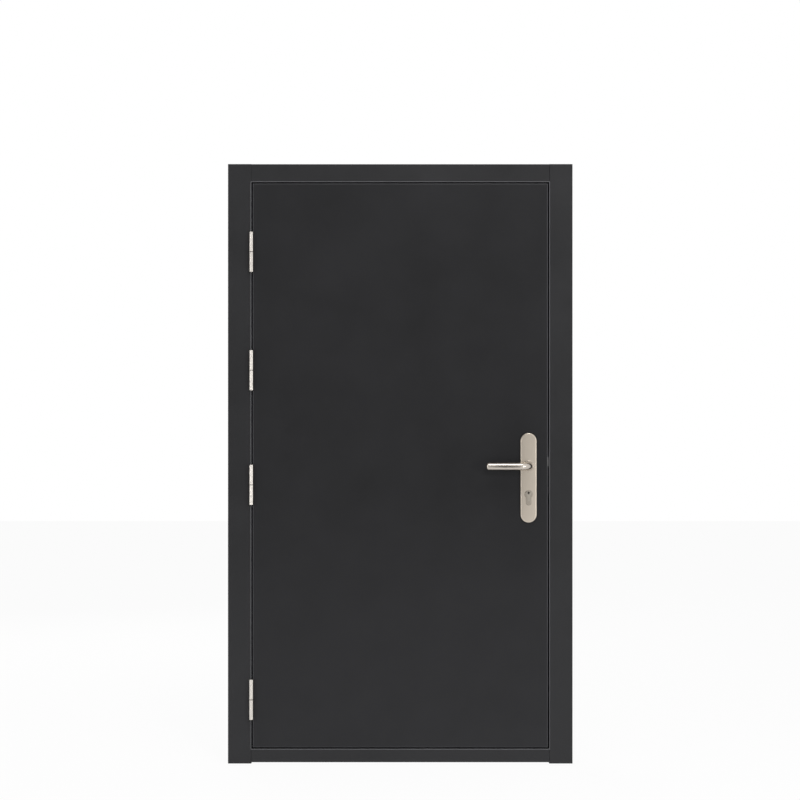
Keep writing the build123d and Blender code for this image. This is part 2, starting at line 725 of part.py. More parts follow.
def lever_spring():
    """Bent strip spring from the case's rear wall to the underside of the follower."""
    rear = CASE_REAR + CASE_WALL
    under = SPINDLE_HEIGHT - FOLLOWER_RADIUS - LEVER_STRIP - LEVER_SPRING_GAP
    points = [
        (rear, LEVER_SPRING_HEIGHT),
        (rear + LEVER_SPRING_FOOT, LEVER_SPRING_HEIGHT),
        (SPINDLE_X - LEVER_SPRING_PAD / 4, under),
        (SPINDLE_X + LEVER_SPRING_PAD * 3 / 4, under),
    ]
    return bent_strip(points, LEVER_STRIP, -LEVER_STRIP_HALF, LEVER_STRIP_HALF)


def dead_bolt():
    """Square bolt with a guide slot, drawn back into the case."""
    low, high = BOLT_HEIGHT - BOLT_TALL / 2, BOLT_HEIGHT + BOLT_TALL / 2
    rear = LEAF_HALF - BOLT_LENGTH
    bolt = block(rear, LEAF_HALF, -BOLT_HALF, BOLT_HALF, low, high)
    bolt += block(rear, rear + BOLT_LUG_LENGTH, -BOLT_LUG_HALF, BOLT_LUG_HALF, low - BOLT_LUG_DROP, low)
    stud_x = CASE_FRONT - STUD_INSET
    room = STUD_RADIUS + STUD_CLEARANCE
    x_low, x_high = stud_x - BOLT_TRAVEL - room, stud_x + room
    return bolt - block(x_low, x_high, -BOLT_HALF, BOLT_HALF, BOLT_HEIGHT - room, BOLT_HEIGHT + room)


def cylinder_body():
    """Profile cylinder's body, bored for both plugs and cut away in the middle for the cam."""
    body = through_leaf(cylinder_shape(), -CYLINDER_HALF_LENGTH, CYLINDER_HALF_LENGTH)
    bore = PLUG_RADIUS + PLUG_CLEARANCE
    body -= cross_hole(bore, CYLINDER_HEIGHT, -CYLINDER_HALF_LENGTH, CYLINDER_HALF_LENGTH)
    room = CAM_REACH + CAM_PLAY
    z_low, z_high = CYLINDER_HEIGHT - room, CYLINDER_HEIGHT + room
    body -= block(SPINDLE_X - room, SPINDLE_X + room, -CAM_SLOT, CAM_SLOT, z_low, z_high)
    return body - cylinder_screw()


def key_plug():
    """Turning plug on the outside, with its keyway, held flush with the cylinder's end."""
    plug = cross_hole(PLUG_RADIUS, CYLINDER_HEIGHT, -CYLINDER_HALF_LENGTH, -CAM_HALF)
    x_low, x_high = SPINDLE_X - KEYWAY_HALF, SPINDLE_X + KEYWAY_HALF
    low, high = CYLINDER_HEIGHT + KEYWAY_BOTTOM, CYLINDER_HEIGHT + PLUG_RADIUS
    return plug - block(x_low, x_high, -CYLINDER_HALF_LENGTH, -CAM_HALF - KEYWAY_END, low, high)


def key_cam():
    """Disc between the plugs, with the nose that drives the bolt."""
    nose = Pos(0, -CAM_REACH / 2) * Rectangle(CAM_NOSE, CAM_REACH)
    shape = Circle(CAM_RADIUS) + (nose & Circle(CAM_REACH))
    placed = Pos(SPINDLE_X, CYLINDER_HEIGHT) * (Rot(0, 0, -CAM_ANGLE) * shape)
    return through_leaf(placed, -CAM_HALF, CAM_HALF)


def plate_outline(inset):
    """Handle plate's outline with full-radius ends, drawn in X and Z, moved inwards all round."""
    size = (PLATE_HEIGHT - 2 * inset, PLATE_WIDTH - 2 * inset)
    return Pos(SPINDLE_X, PLATE_CENTRE) * Rot(0, 0, 90) * SlotOverall(*size)


def collar_outline(inset):
    """Outline of the collar round the cylinder, drawn in X and Z, moved inwards all round."""
    return keyhole_shape(COLLAR_HEAD - inset, COLLAR_STEM - inset, COLLAR_TOP - inset, COLLAR_BOTTOM + inset)


def base_plate(inner):
    """Plate that is bolted to the leaf behind a handle plate; built outside and mirrored for the inside."""
    face = FRONT - BASE_THICKNESS
    base = through_leaf(plate_outline(PLATE_SHEET + BASE_PLAY), face, FRONT)
    base -= cross_hole(LEVER_RADIUS + BASE_PLAY, SPINDLE_HEIGHT, face, FRONT)
    base -= through_leaf(cylinder_shape(BASE_PLAY), face, FRONT)
    for height in HANDLE_SCREW_HEIGHTS:
        if inner:
            base += cross_hole(BASE_BOSS, height, PLATE_FACE + PLATE_SHEET, face)
            base -= handle_screw(height, outside=True)
        else:
            base -= cross_hole(HANDLE_SCREW[0], height, face + BLIND_END, FRONT)
    return mirror(base, about=Plane.XZ) if inner else base


def handle_screw(height, outside=False):
    """Through screw from the inner handle plate to the outer base plate, or its mirror image."""
    head = Vector(SPINDLE_X, -PLATE_FACE, height)
    tip = Vector(SPINDLE_X, FRONT - BASE_THICKNESS + BLIND_END, height)
    if outside:
        head = Vector(head.X, -head.Y, head.Z)
        tip = Vector(tip.X, -tip.Y, tip.Z)
    return countersunk(HANDLE_SCREW, tip, head)


def handle_plate(inner):
    """Long plate pressed from sheet, with rounded edges and a raised collar round the cylinder."""
    plate = through_leaf(plate_outline(0), PLATE_FACE, FRONT)
    plate = fillet(plate.faces().sort_by(Axis.Y)[0].edges(), PLATE_EDGE)
    floor = PLATE_FACE + PLATE_SHEET
    hollow = through_leaf(plate_outline(PLATE_SHEET), floor, FRONT)
    plate -= fillet(hollow.faces().sort_by(Axis.Y)[0].edges(), PLATE_EDGE - PLATE_SHEET)
    collar = through_leaf(collar_outline(0), PLATE_FACE - COLLAR_HEIGHT, PLATE_FACE)
    plate += fillet(collar.faces().sort_by(Axis.Y)[0].edges(), COLLAR_EDGE)
    plate -= through_leaf(collar_outline(PLATE_SHEET), floor - COLLAR_HEIGHT, floor)
    plate -= cross_hole(BUSH_SPIGOT, SPINDLE_HEIGHT, PLATE_FACE, FRONT)
    plate -= through_leaf(cylinder_shape(COLLAR_PLAY), PLATE_FACE - COLLAR_HEIGHT, FRONT)
    if inner:
        for height in HANDLE_SCREW_HEIGHTS:
            plate -= handle_screw(height, outside=True)
    return mirror(plate, about=Plane.XZ) if inner else plate


def lever_bush():
    """Collar that the lever turns in, seated on the base plate through the handle plate."""
    face = PLATE_FACE - BUSH_FLANGE
    seat = FRONT - BASE_THICKNESS
    flange = cross_hole(BUSH_RADIUS, SPINDLE_HEIGHT, face, PLATE_FACE)
    flange = fillet(flange.edges().filter_by(GeomType.CIRCLE).sort_by(Axis.Y)[0], BUSH_EDGE)
    bush = flange + cross_hole(BUSH_SPIGOT, SPINDLE_HEIGHT, PLATE_FACE, seat)
    return bush - cross_hole(LEVER_RADIUS + LEVER_CLEARANCE, SPINDLE_HEIGHT, face, seat)


def lever():
    """Round bar bent from the door into the grip, with a rounded end and a square socket."""
    out = FRONT - LEVER_STANDOFF
    points = [
        (SPINDLE_X, FRONT - LEVER_START, SPINDLE_HEIGHT),
        (SPINDLE_X, out, SPINDLE_HEIGHT),
        (SPINDLE_X - LEVER_REACH, out, SPINDLE_HEIGHT),
    ]
    path = FilletPolyline(*points, radius=LEVER_BEND)
    section = Plane(points[0], z_dir=(0, -1, 0)) * Circle(LEVER_RADIUS)
    bar = sweep(section, path=path)
    bar = fillet(bar.faces().sort_by(Axis.X)[0].edges(), LEVER_END)
    return bar - spindle() - grub_screw(SPINDLE_HEIGHT - 2 * LEVER_RADIUS)


def grub_screw(z_low=SPINDLE_HEIGHT - LEVER_RADIUS + GRUB_SINK):
    """Set screw from below the lever's neck to the spindle, or its hole if it starts lower."""
    return upright(GRUB_RADIUS, SPINDLE_X, FRONT - GRUB_SETBACK, z_low, SPINDLE_HEIGHT - SPINDLE_SIDE / 2)


def save(name, shape):
    """Write one piece to its own file."""
    export_step(shape, f"parts/{name}.step")


def save_frame():
    """Frame members, seals, strike and fixings that stay with the frame."""
    top = FRAME_HEIGHT
    save("frame_jamb_hinge_side", hinge_jamb())
    save("frame_jamb_lock_side", lock_jamb())
    head = cross_member((-OPENING_HALF, FRONT, top), (1, 0, 0), (0, 0, -1), HEAD_FACE, STOP_WIDTH)
    save("frame_head", head)
    sill = cross_member((OPENING_HALF, FRONT, SILL_LIFT), (-1, 0, 0), (0, 0, 1), SILL_FACE, UPSTAND)
    save("frame_sill", sill)
    save("seal_hinge_side", mirror(upright_seal(), about=Plane.YZ))
    save("seal_lock_side", upright_seal())
    save("seal_head", cross_seal(top - HEAD_FACE - FOLD_RADIUS, -1))
    save("seal_sill", cross_seal(SILL_LIFT + SILL_FACE + FOLD_RADIUS, 1))
    save("frame_hinge_plates", frame_reinforcements())
    save("strike_plate", strike_plate())
    save("strike_screws", Compound(children=strike_screws()))
    save("strike_box", strike_box())


def save_hinges():
    """Four lift-off hinges with their pins, washers and screws."""
    leaf_screws = []
    frame_screws = []
    for number, height in enumerate(HINGE_HEIGHTS, start=1):
        save(f"hinge_frame_half_{number}", hinge_half(height, on_leaf=False))
        save(f"hinge_leaf_half_{number}", hinge_half(height, on_leaf=True))
        save(f"hinge_pin_{number}", hinge_pin(height))
        save(f"hinge_washer_{number}", hinge_washer(height))
        frame_screws += flag_screws(height, on_leaf=False)
        leaf_screws += flag_screws(height, on_leaf=True)
    save("hinge_screws_frame", Compound(children=frame_screws))
    save("hinge_screws_leaf", Compound(children=leaf_screws))


def save_leaf():
    """Skins, core and inner plates of the leaf."""
    save("leaf_outer_skin", leaf_outer_skin())
    save("leaf_inner_skin", leaf_inner_skin())
    save("leaf_core", leaf_core())
    save("leaf_reinforcements", leaf_reinforcements())


def save_lock():
    """Mortice lock with its cylinder."""
    save("lock_forend", lock_forend())
    save("lock_forend_screws", Compound(children=forend_screws()))
    save("lock_case", lock_case())
    save("lock_case_cover", lock_case_cover())
    save("follower", follower())
    save("spindle", spindle())
    save("latch_bolt", latch_bolt())
    save("latch_spring", latch_spring())
    save("lever_spring", lever_spring())
    save("dead_bolt", dead_bolt())
    save("cylinder_body", cylinder_body())
    save("cylinder_screw", cylinder_screw())
    save("key_plug_outer", key_plug())
    save("key_plug_inner", mirror(key_plug(), about=Plane.XZ))
    save("key_cam", key_cam())


def save_handles():
    """Handle plates, bushes and levers on both sides."""
    save("handle_base_outer", base_plate(inner=False))
    save("handle_base_inner", base_plate(inner=True))
    save("handle_plate_outer", handle_plate(inner=False))
    save("handle_plate_inner", handle_plate(inner=True))
    save("handle_screws", Compound(children=[handle_screw(height) for height in HANDLE_SCREW_HEIGHTS]))
    save("lever_bush_outer", lever_bush())
    save("lever_bush_inner", mirror(lever_bush(), about=Plane.XZ))
    save("lever_outer", lever())
    save("lever_inner", mirror(lever(), about=Plane.XZ))
    screws = [grub_screw(), mirror(grub_screw(), about=Plane.XZ)]
    save("lever_grub_screws", Compound(children=screws))


os.makedirs("parts", exist_ok=True)
save_frame()
save_hinges()
save_leaf()
save_lock()
save_handles()
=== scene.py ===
"""Dresses the steel container door and its frame, and sets up the studio that it is seen in."""

import logging
import math
from dataclasses import dataclass, field, replace
from enum import Enum

import bmesh
import bpy
from mathutils import Matrix, Vector


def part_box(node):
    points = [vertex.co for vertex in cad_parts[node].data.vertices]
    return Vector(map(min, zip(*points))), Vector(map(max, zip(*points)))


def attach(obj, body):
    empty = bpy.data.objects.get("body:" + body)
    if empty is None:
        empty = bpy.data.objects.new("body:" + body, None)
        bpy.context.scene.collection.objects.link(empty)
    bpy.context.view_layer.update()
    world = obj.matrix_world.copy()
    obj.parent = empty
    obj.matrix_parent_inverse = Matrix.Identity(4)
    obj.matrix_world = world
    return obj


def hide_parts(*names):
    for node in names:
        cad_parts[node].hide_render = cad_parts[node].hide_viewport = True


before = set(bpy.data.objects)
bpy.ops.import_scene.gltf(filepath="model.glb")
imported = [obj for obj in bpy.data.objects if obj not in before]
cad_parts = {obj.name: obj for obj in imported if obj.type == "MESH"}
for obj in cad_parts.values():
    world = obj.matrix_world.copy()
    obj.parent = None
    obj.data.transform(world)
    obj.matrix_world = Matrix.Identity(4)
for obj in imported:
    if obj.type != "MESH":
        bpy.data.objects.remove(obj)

Socket = bpy.types.NodeSocket
Color = tuple[float, float, float, float]
Point = tuple[float, float, float]
Pair = tuple[float, float]

MM = 0.001
MICRON = 0.001 * MM
MERGE_REACH = 1.0 * MICRON
SHARP_ANGLE = math.radians(32)
NOISE_ROUGHNESS = 0.55
GLOSS_LIMITS = (0.05, 0.9)
HEXAGON = 6
BAR_FACES = 20
DROP_DETAIL = 2
BEVEL_STEPS = 2
BEVEL_ROUND = 0.5
HINGE_COUNT = 4
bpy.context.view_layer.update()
MATERIALS: dict[str, bpy.types.Material] = {}
log = logging.getLogger("door")


class Grain(Enum):
    """Direction that a metal was brushed in, as the stretch of its scratches along X, Y and Z."""

    ALONG_X = (0.02, 1.0, 1.0)
    ALONG_Y = (1.0, 0.02, 1.0)
    ALONG_Z = (1.0, 1.0, 0.02)


def feed(tree: bpy.types.NodeTree, source: object, socket: Socket) -> None:
    """Link a value or a socket to an input, or set the input to a plain number, colour or vector.

    Args:
        tree: the nodes that both belong to.
        source: what the input gets.
        socket: the input.
    """
    source = getattr(source, "socket", source)
    if isinstance(source, Socket):
        tree.links.new(source, socket)
    else:
        socket.default_value = source


class Value:
    """A number at a shader socket, whose arithmetic adds Math nodes."""

    def __init__(self, tree: bpy.types.NodeTree, socket: Socket) -> None:
        """Keep the tree and the socket that the number comes from."""
        self.tree = tree
        self.socket = socket

    def math(self, operation: str, *others: object, flip: bool = False) -> "Value":
        """Join this number and others by a Math node.

        Args:
            operation: the Math node's operation.
            others: numbers or values for its further inputs.
            flip: whether the first other comes before this number.

        Returns:
            The node's result.
        """
        node = self.tree.nodes.new("ShaderNodeMath")
        node.operation = operation
        terms = [*others, self] if flip else [self, *others]
        for socket, term in zip(node.inputs, terms):
            feed(self.tree, term, socket)
        return Value(self.tree, node.outputs[0])

    def __add__(self, other: object) -> "Value":
        """Sum."""
        return self.math("ADD", other)

    __radd__ = __add__

    def __mul__(self, other: object) -> "Value":
        """Product."""
        return self.math("MULTIPLY", other)

    __rmul__ = __mul__

    def __sub__(self, other: object) -> "Value":
        """Difference."""
        return self.math("SUBTRACT", other)

    def __rsub__(self, other: object) -> "Value":
        """Difference, taken from a plain number."""
        return self.math("SUBTRACT", other, flip=True)

    def clamped(self, low: float = 0.0, high: float = 1.0) -> "Value":
        """This number, kept between two limits."""
        return self.math("MAXIMUM", low).math("MINIMUM", high)

    def across(self, other: "Value") -> "Value":
        """Straight distance over this leg and another, square to it."""
        return (self * self + other * other).math("SQRT")


class Graph:
    """A material's or the world's nodes, with one method that adds any node."""

    def __init__(self, tree: bpy.types.NodeTree) -> None:
        """Empty the tree and keep it."""
        self.tree = tree
        tree.nodes.clear()

    def node(
        self, kind: str, settings: dict | None = None, sockets: dict | None = None
    ) -> bpy.types.Node:
        """Add a node.

        Args:
            kind: the node's type.
            settings: its own properties, set first.
            sockets: values, or sources of links, by the input's name or number.

        Returns:
            The new node.
        """
        node = self.tree.nodes.new(kind)
        for name, setting in (settings or {}).items():
            setattr(node, name, setting)
        for name, source in (sockets or {}).items():
            feed(self.tree, source, node.inputs[name])
        return node

    def value(self, node: bpy.types.Node, output: str | int = 0) -> Value:
        """A node's output as a number for arithmetic."""
        return Value(self.tree, node.outputs[output])

    def axes(self, vector: Socket) -> list[Value]:
        """A vector's X, Y and Z as numbers."""
        parts = self.node("ShaderNodeSeparateXYZ", sockets={"Vector": vector})
        return [self.value(parts, name) for name in "XYZ"]

    def place(self, stretch: Point = (1.0, 1.0, 1.0)) -> Socket:
        """Object coordinates in metres.

        Args:
            stretch: what they are multiplied by along X, Y and Z.

        Returns:
            The coordinates.
        """
        coordinates = self.node("ShaderNodeTexCoord")
        sockets = {"Vector": coordinates.outputs["Object"], "Scale": stretch}
        return self.node("ShaderNodeMapping", sockets=sockets).outputs[0]

    def noise(self, place: Socket, scale: float, detail: float = 2.0) -> Value:
        """Soft noise between 0 and 1."""
        sockets = {"Vector": place, "Scale": scale, "Detail": detail, "Roughness": NOISE_ROUGHNESS}
        return self.value(self.node("ShaderNodeTexNoise", {"normalize": True}, sockets), "Fac")

    def bump(
        self, height: Value, distance: float, strength: float, normal: object = None
    ) -> Socket:
        """Bump from a height between 0 and 1.

        Args:
            height: the height.
            distance: metres between heights 0 and 1.
            strength: how much of the bump is kept.
            normal: a bump that this one adds to.

        Returns:
            The bent normal.
        """
        sockets = {"Height": height, "Distance": distance, "Strength": strength}
        if normal is not None:
            sockets["Normal"] = normal
        return self.node("ShaderNodeBump", sockets=sockets).outputs[0]

    def mix(self, factor: object, first: object, second: object) -> Socket:
        """Mix two colours by a number from 0 to 1.

        Args:
            factor: 0 for the first colour, 1 for the second.
            first: a colour, or the socket that it comes from.
            second: the other one.

        Returns:
            The mixed colour.
        """
        node = self.node("ShaderNodeMix", {"data_type": "RGBA"})
        terms = {"Factor_Float": factor, "A_Color": first, "B_Color": second}
        for name, source in terms.items():
            feed(self.tree, source, next(s for s in node.inputs if s.identifier == name))
        return next(s for s in node.outputs if s.identifier == "Result_Color")

    def arris(self, spread: float = 12.0) -> Value:
        """Mask of the folds and rounded edges.

        Args:
            spread: how soon the mask grows as a face turns away from the axes.

        Returns:
            0 on faces square to an axis, 1 halfway round a fold.
        """
        coordinates = self.node("ShaderNodeTexCoord")
        x, y, z = (axis.math("ABSOLUTE") for axis in self.axes(coordinates.outputs["Normal"]))
        return ((1.0 - x.math("MAXIMUM", y).math("MAXIMUM", z)) * spread).clamped()

    def surface(self, sockets: dict) -> None:
        """End the material in a Principled shader with these sockets."""
        shader = self.node("ShaderNodeBsdfPrincipled", sockets=sockets)
        self.node("ShaderNodeOutputMaterial", sockets={"Surface": shader.outputs[0]})


def grey(red: float, green: float, blue: float) -> Color:
    """Colour with full opacity, from linear red, green and blue."""
    return (red, green, blue, 1.0)


def tinted(color: Color, factor: float) -> Color:
    """The same colour, darker or lighter by a factor."""
    return (color[0] * factor, color[1] * factor, color[2] * factor, 1.0)


@dataclass(frozen=True)
class Finish:
    """A surface finish, made into a material once."""

    name: str
    color: Color
    roughness: float
    slot: str = ""

    def material(self) -> bpy.types.Material:
        """Make this finish's material at its first use.

        Returns:
            The material.
        """
        if self.name not in MATERIALS:
            made = bpy.data.materials.new(self.name)
            made.use_nodes = True
            self.build(Graph(made.node_tree))
            MATERIALS[self.name] = made
        return MATERIALS[self.name]

    def marked(self, graph: Graph, color: Socket) -> Socket:
        """The finish's colour as it is; a kind with marks changes it."""
        return color

    def build(self, graph: Graph) -> None:
        """Add the finish's nodes; each kind of finish has its own."""
        raise NotImplementedError


@dataclass(frozen=True)
class PowderCoat(Finish):
    """Fine textured powder coat on faintly wavy sheet, lighter on folds by wear and painted
    highlight, and lighter towards the foot by painted light.
    """

    grain_size: float = 900.0
    grain_depth: float = 40.0 * MICRON
    fine_share: float = 0.6
    pit_size: float = 360.0
    pit_gloss: float = 0.12
    wave_size: float = 1.6
    wave_depth: float = 1.2 * MM
    cloud_size: float = 4.5
    cloud_contrast: float = 2.2
    cloud_share: float = 0.75
    mottle: float = 0.22
    specular: float = 0.16
    # Fold lightening: partly rubbing wear, partly painted highlight on the rounded arrises.
    rub_highlight_tone: float = 3.0
    rub_polish: float = 0.22
    rub_highlight_half_width: float = 499.5 * MM
    rub_highlight_heights: Pair = (46.5 * MM, 1942.5 * MM)
    rub_highlight_patch_size: float = 60.0
    rub_highlight_patches: Pair = (0.7, 0.6)
    # Painted light: the coat is lightened towards the foot, in patches.
    foot_light_tone: float = 1.5
    foot_light_height: float = 900.0 * MM
    foot_light_patch_size: float = 7.0
    foot_light_patches: Pair = (0.6, 0.8)

    def with_foot_light(self, graph: Graph, place: Socket, color: Socket) -> Socket:
        """Paint light over the coat, lighter towards the foot and in patches.

        Args:
            graph: the material's nodes.
            place: Object coordinates.
            color: the coat's own colour.

        Returns:
            The coat's colour with the painted light.
        """
        low = (1.0 - graph.axes(place)[2] * (1 / self.foot_light_height)).clamped()
        least, spread = self.foot_light_patches
        foot_light_patch = least + graph.noise(place, self.foot_light_patch_size, detail=3.0) * spread
        return graph.mix((low * foot_light_patch).clamped(), color, tinted(self.color, self.foot_light_tone))

    def rub_and_highlight(self, graph: Graph, place: Socket) -> Value:
        """Patchy mask of the folds round the opening, for wear by hands, tools and goods and for
        the painted highlight on the arrises.

        Args:
            graph: the material's nodes.
            place: Object coordinates.

        Returns:
            0 on flat faces and away from the opening, 1 where wear and painted highlight are
            strongest.
        """
        across, _, height = graph.axes(place)
        low, high = self.rub_highlight_heights
        least, spread = self.rub_highlight_patches
        inside = across.math("ABSOLUTE").math("LESS_THAN", self.rub_highlight_half_width)
        inside = inside * height.math("GREATER_THAN", low) * height.math("LESS_THAN", high)
        patches = (least + graph.noise(place, self.rub_highlight_patch_size, detail=3.0) * spread).clamped()
        return graph.arris() * patches * inside

    def build(self, graph: Graph) -> None:
        """Grain and waves as bump, mottling in colour and roughness, painted light at the foot, and
        wear with painted highlight on the folds over all.

        Args:
            graph: the material's nodes.
        """
        place = graph.place()
        cloud = (graph.noise(place, self.cloud_size, detail=4.0) - 0.5) * self.cloud_contrast + 0.5
        fine = graph.noise(place, self.grain_size, detail=2.0)
        pits = graph.noise(place, self.pit_size, detail=3.0)
        blend = (cloud * self.cloud_share + pits * (1 - self.cloud_share)).clamped()
        low, high = tinted(self.color, 1 - self.mottle), tinted(self.color, 1 + self.mottle)
        # Mask of the folds round the opening: rubbing wear and painted highlight.
        rub_and_highlight = self.rub_and_highlight(graph, place)
        # The coat, lightened towards the foot by painted light.
        coat = self.with_foot_light(graph, place, graph.mix(blend, low, high))
        waves = graph.bump(graph.noise(place, self.wave_size, detail=1.0), self.wave_depth, 1.0)
        grain = fine * self.fine_share + pits * (1 - self.fine_share)
        graph.surface({
            "Base Color": graph.mix(rub_and_highlight, coat, tinted(self.color, self.rub_highlight_tone)),
            "Roughness": self.roughness + (pits - 0.5) * self.pit_gloss - rub_and_highlight * self.rub_polish,
            "Specular IOR Level": self.specular,
            "Normal": graph.bump(grain, self.grain_depth, 1.0, waves),
        })


@dataclass(frozen=True)
class BrushedSteel(Finish):
    """Satin stainless steel with long fine scratches one way."""

    grain: Grain = Grain.ALONG_Z
    scratch: float = 0.10
    depth: float = 12.0 * MICRON
    scratch_size: float = 2600.0
    band_size: float = 500.0
    cloud_size: float = 26.0
    shares: Point = (0.5, 0.3, 0.2)
    tones: Pair = (0.90, 1.08)
    polish: float = 0.6

    def build(self, graph: Graph) -> None:
        """Stretched noise in colour, roughness and bump.

        Args:
            graph: the material's nodes.
        """
        along = graph.place(self.grain.value)
        scratches = graph.noise(along, self.scratch_size, detail=3.0)
        bands = graph.noise(along, self.band_size, detail=2.0)
        cloud = graph.noise(graph.place(), self.cloud_size, detail=2.0)
        first, second, third = self.shares
        tone = (scratches * first + bands * second + cloud * third).clamped()
        dark, light = (tinted(self.color, factor) for factor in self.tones)
        graph.surface({
            "Base Color": self.marked(graph, graph.mix(tone, dark, light)),
            "Metallic": 1.0,
            "Roughness": (self.roughness + (scratches - 0.5) * self.scratch).clamped(*GLOSS_LIMITS),
            "Normal": graph.bump(scratches, self.depth, self.polish),
        })


@dataclass(frozen=True)
class CollaredSteel(BrushedSteel):
    """Brushed steel, with painted shade on the raised collar round the cylinder and a painted
    shadow line round the collar's outline.
    """

    head: Point = (427.5 * MM, 898.5 * MM, 13.0 * MM)
    stem: Pair = (871.1 * MM, 8.4 * MM)
    seam_shadow: float = 1.1 * MM
    # Painted shade: the collar is darkened, and a darker line is painted round its outline as its
    # shadow.
    collar_shade_tone: float = 0.72
    seam_shadow_tone: float = 0.28

    def outline(self, graph: Graph) -> Value:
        """Measure from the collar's outline, a round head over a narrower stem.

        Args:
            graph: the material's nodes.

        Returns:
            The distance on the plate's face, less than 0 inside the outline.
        """
        x, z, radius = self.head
        foot, half = self.stem
        place = graph.axes(graph.place())
        side, height = place[0] - x, place[2]
        above, below = height - z, foot - height
        past = above.math("MAXIMUM", below).math("MAXIMUM", 0.0)
        return (side.across(above) - radius).math("MINIMUM", side.across(past) - half)

    def marked(self, graph: Graph, color: Socket) -> Socket:
        """Paint shade on the collar and a shadow line round its outline.

        Args:
            graph: the material's nodes.
            color: the steel's own colour.

        Returns:
            The marked colour.
        """
        distance = self.outline(graph)
        # Painted shade inside the outline, and a painted shadow line along it.
        inside = (0.5 - distance * (1 / self.seam_shadow)).clamped()
        seam_shadow = (1.0 - distance.math("ABSOLUTE") * (1 / self.seam_shadow)).clamped()
        shaded_collar = graph.mix(inside, color, tinted(self.color, self.collar_shade_tone))
        return graph.mix(seam_shadow, shaded_collar, tinted(self.color, self.seam_shadow_tone))


@dataclass(frozen=True)
class TurnedMetal(Finish):
    """Plain machined or plated metal with faint marks."""

    marks: float = 0.06
    skin_gloss: float = 0.05
    skin_depth: float = 8.0 * MICRON
    skin_size: float = 1800.0
    cloud_size: float = 120.0
    tones: Pair = (0.88, 1.08)
    polish: float = 0.5

    def build(self, graph: Graph) -> None:
        """Small cloudy changes in colour and roughness.

        Args:
            graph: the material's nodes.
        """
        place = graph.place()
        cloud = graph.noise(place, self.cloud_size, detail=3.0)
        skin = graph.noise(place, self.skin_size, detail=2.0)
        dark, light = (tinted(self.color, factor) for factor in self.tones)
        gloss = self.roughness + (cloud - 0.5) * self.marks + (skin - 0.5) * self.skin_gloss
        graph.surface({
            "Base Color": self.marked(graph, graph.mix(cloud, dark, light)),
            "Metallic": 1.0,
            "Roughness": gloss.clamped(*GLOSS_LIMITS),
            "Normal": graph.bump(skin, self.skin_depth, self.polish),
        })


@dataclass(frozen=True)
class CylinderNickel(TurnedMetal):
    """Satin nickel on the cylinder's ends, with painted shade round the keyway's mouth and on all
    that lies behind the ends.
    """

    end: float = 34.8 * MM
    mouth: Point = (427.5 * MM, 904.0 * MM, 4.4 * MM)
    mouth_edge: float = 1.3
    # Painted shade round the keyway's mouth and inside the lock, behind the cylinder's ends.
    keyway_shade_tone: float = 0.10
    hidden_shade_tone: float = 0.05

    def marked(self, graph: Graph, color: Socket) -> Socket:
        """Paint shade on the keyway's mouth, and on all that lies behind the cylinder's ends.

        Args:
            graph: the material's nodes.
            color: the metal's own colour.

        Returns:
            The marked colour.
        """
        x, z, reach = self.mouth
        place = graph.axes(graph.place())
        away = (place[0] - x).across(place[2] - z)
        # Painted shade round the keyway's mouth, and darker still on all behind the cylinder's
        # ends.
        keyway_shade = (self.mouth_edge - away * (1 / reach)).clamped()
        behind = place[1].math("ABSOLUTE").math("LESS_THAN", self.end)
        keyway_shaded = graph.mix(keyway_shade, color, tinted(self.color, self.keyway_shade_tone))
        return graph.mix(behind, keyway_shaded, tinted(self.color, self.hidden_shade_tone))


@dataclass(frozen=True)
class Rubber(Finish):
    """Matt extruded rubber with a faint bloom."""

    bloom: float = 1.9
    bloom_size: float = 40.0
    bloom_gloss: float = 0.15
    skin_size: float = 2200.0
    skin_depth: float = 20.0 * MICRON
    polish: float = 0.6

    def build(self, graph: Graph) -> None:
        """Dusty cloud over black, with a fine skin.

        Args:
            graph: the material's nodes.
        """
        place = graph.place()
        cloud = graph.noise(place, self.bloom_size, detail=4.0)
        skin = graph.noise(place, self.skin_size, detail=2.0)
        graph.surface({
            "Base Color": graph.mix(cloud, self.color, tinted(self.color, self.bloom)),
            "Roughness": self.roughness + (cloud - 0.5) * self.bloom_gloss,
            "Normal": graph.bump(skin, self.skin_depth, self.polish),
        })


@dataclass(frozen=True)
class PaperBoard(Finish):
    """Honeycomb board, seen only where the lock's pockets cut into it."""

    cell_size: float = 90.0
    wall: float = 0.06
    wall_depth: float = 0.4 * MM
    cell_tone: float = 0.45
    polish: float = 0.8

    def build(self, graph: Graph) -> None:
        """Cell walls as a Voronoi pattern over brown paper.

        Args:
            graph: the material's nodes.
        """
        sockets = {"Vector": graph.place(), "Scale": self.cell_size}
        cells = graph.node("ShaderNodeTexVoronoi", {"feature": "DISTANCE_TO_EDGE"}, sockets)
        wall = graph.value(cells, "Distance").math("LESS_THAN", self.wall)
        graph.surface({
            "Base Color": graph.mix(wall, tinted(self.color, self.cell_tone), self.color),
            "Roughness": self.roughness,
            "Normal": graph.bump(wall, self.wall_depth, self.polish),
        })


# The coats' fold lightening is partly rubbing wear and partly painted highlight; their lightening
# towards the foot is painted light.
FRAME_COAT = PowderCoat("powder_frame", grey(0.0195, 0.0195, 0.0206), 0.48, "frame_coat", rub_highlight_tone=6.5)
LEAF_COAT = PowderCoat(
    "powder_leaf", grey(0.0138, 0.0138, 0.0149), 0.47, "leaf_coat", rub_highlight_tone=5.0, foot_light_tone=1.7
)
SEAL_RUBBER = Rubber("extruded_rubber", grey(0.012, 0.012, 0.012), 0.72, "seal_rubber")
CORE_BOARD = PaperBoard("honeycomb_board", grey(0.34, 0.24, 0.13), 0.9, "core_board")
PLATE_STEEL = CollaredSteel("brushed_plate", grey(0.66, 0.587, 0.497), 0.32, "handle_steel")
BUSH_STEEL = BrushedSteel(
    "turned_bush", grey(0.54, 0.48, 0.41), 0.26, "handle_steel", Grain.ALONG_Y
)
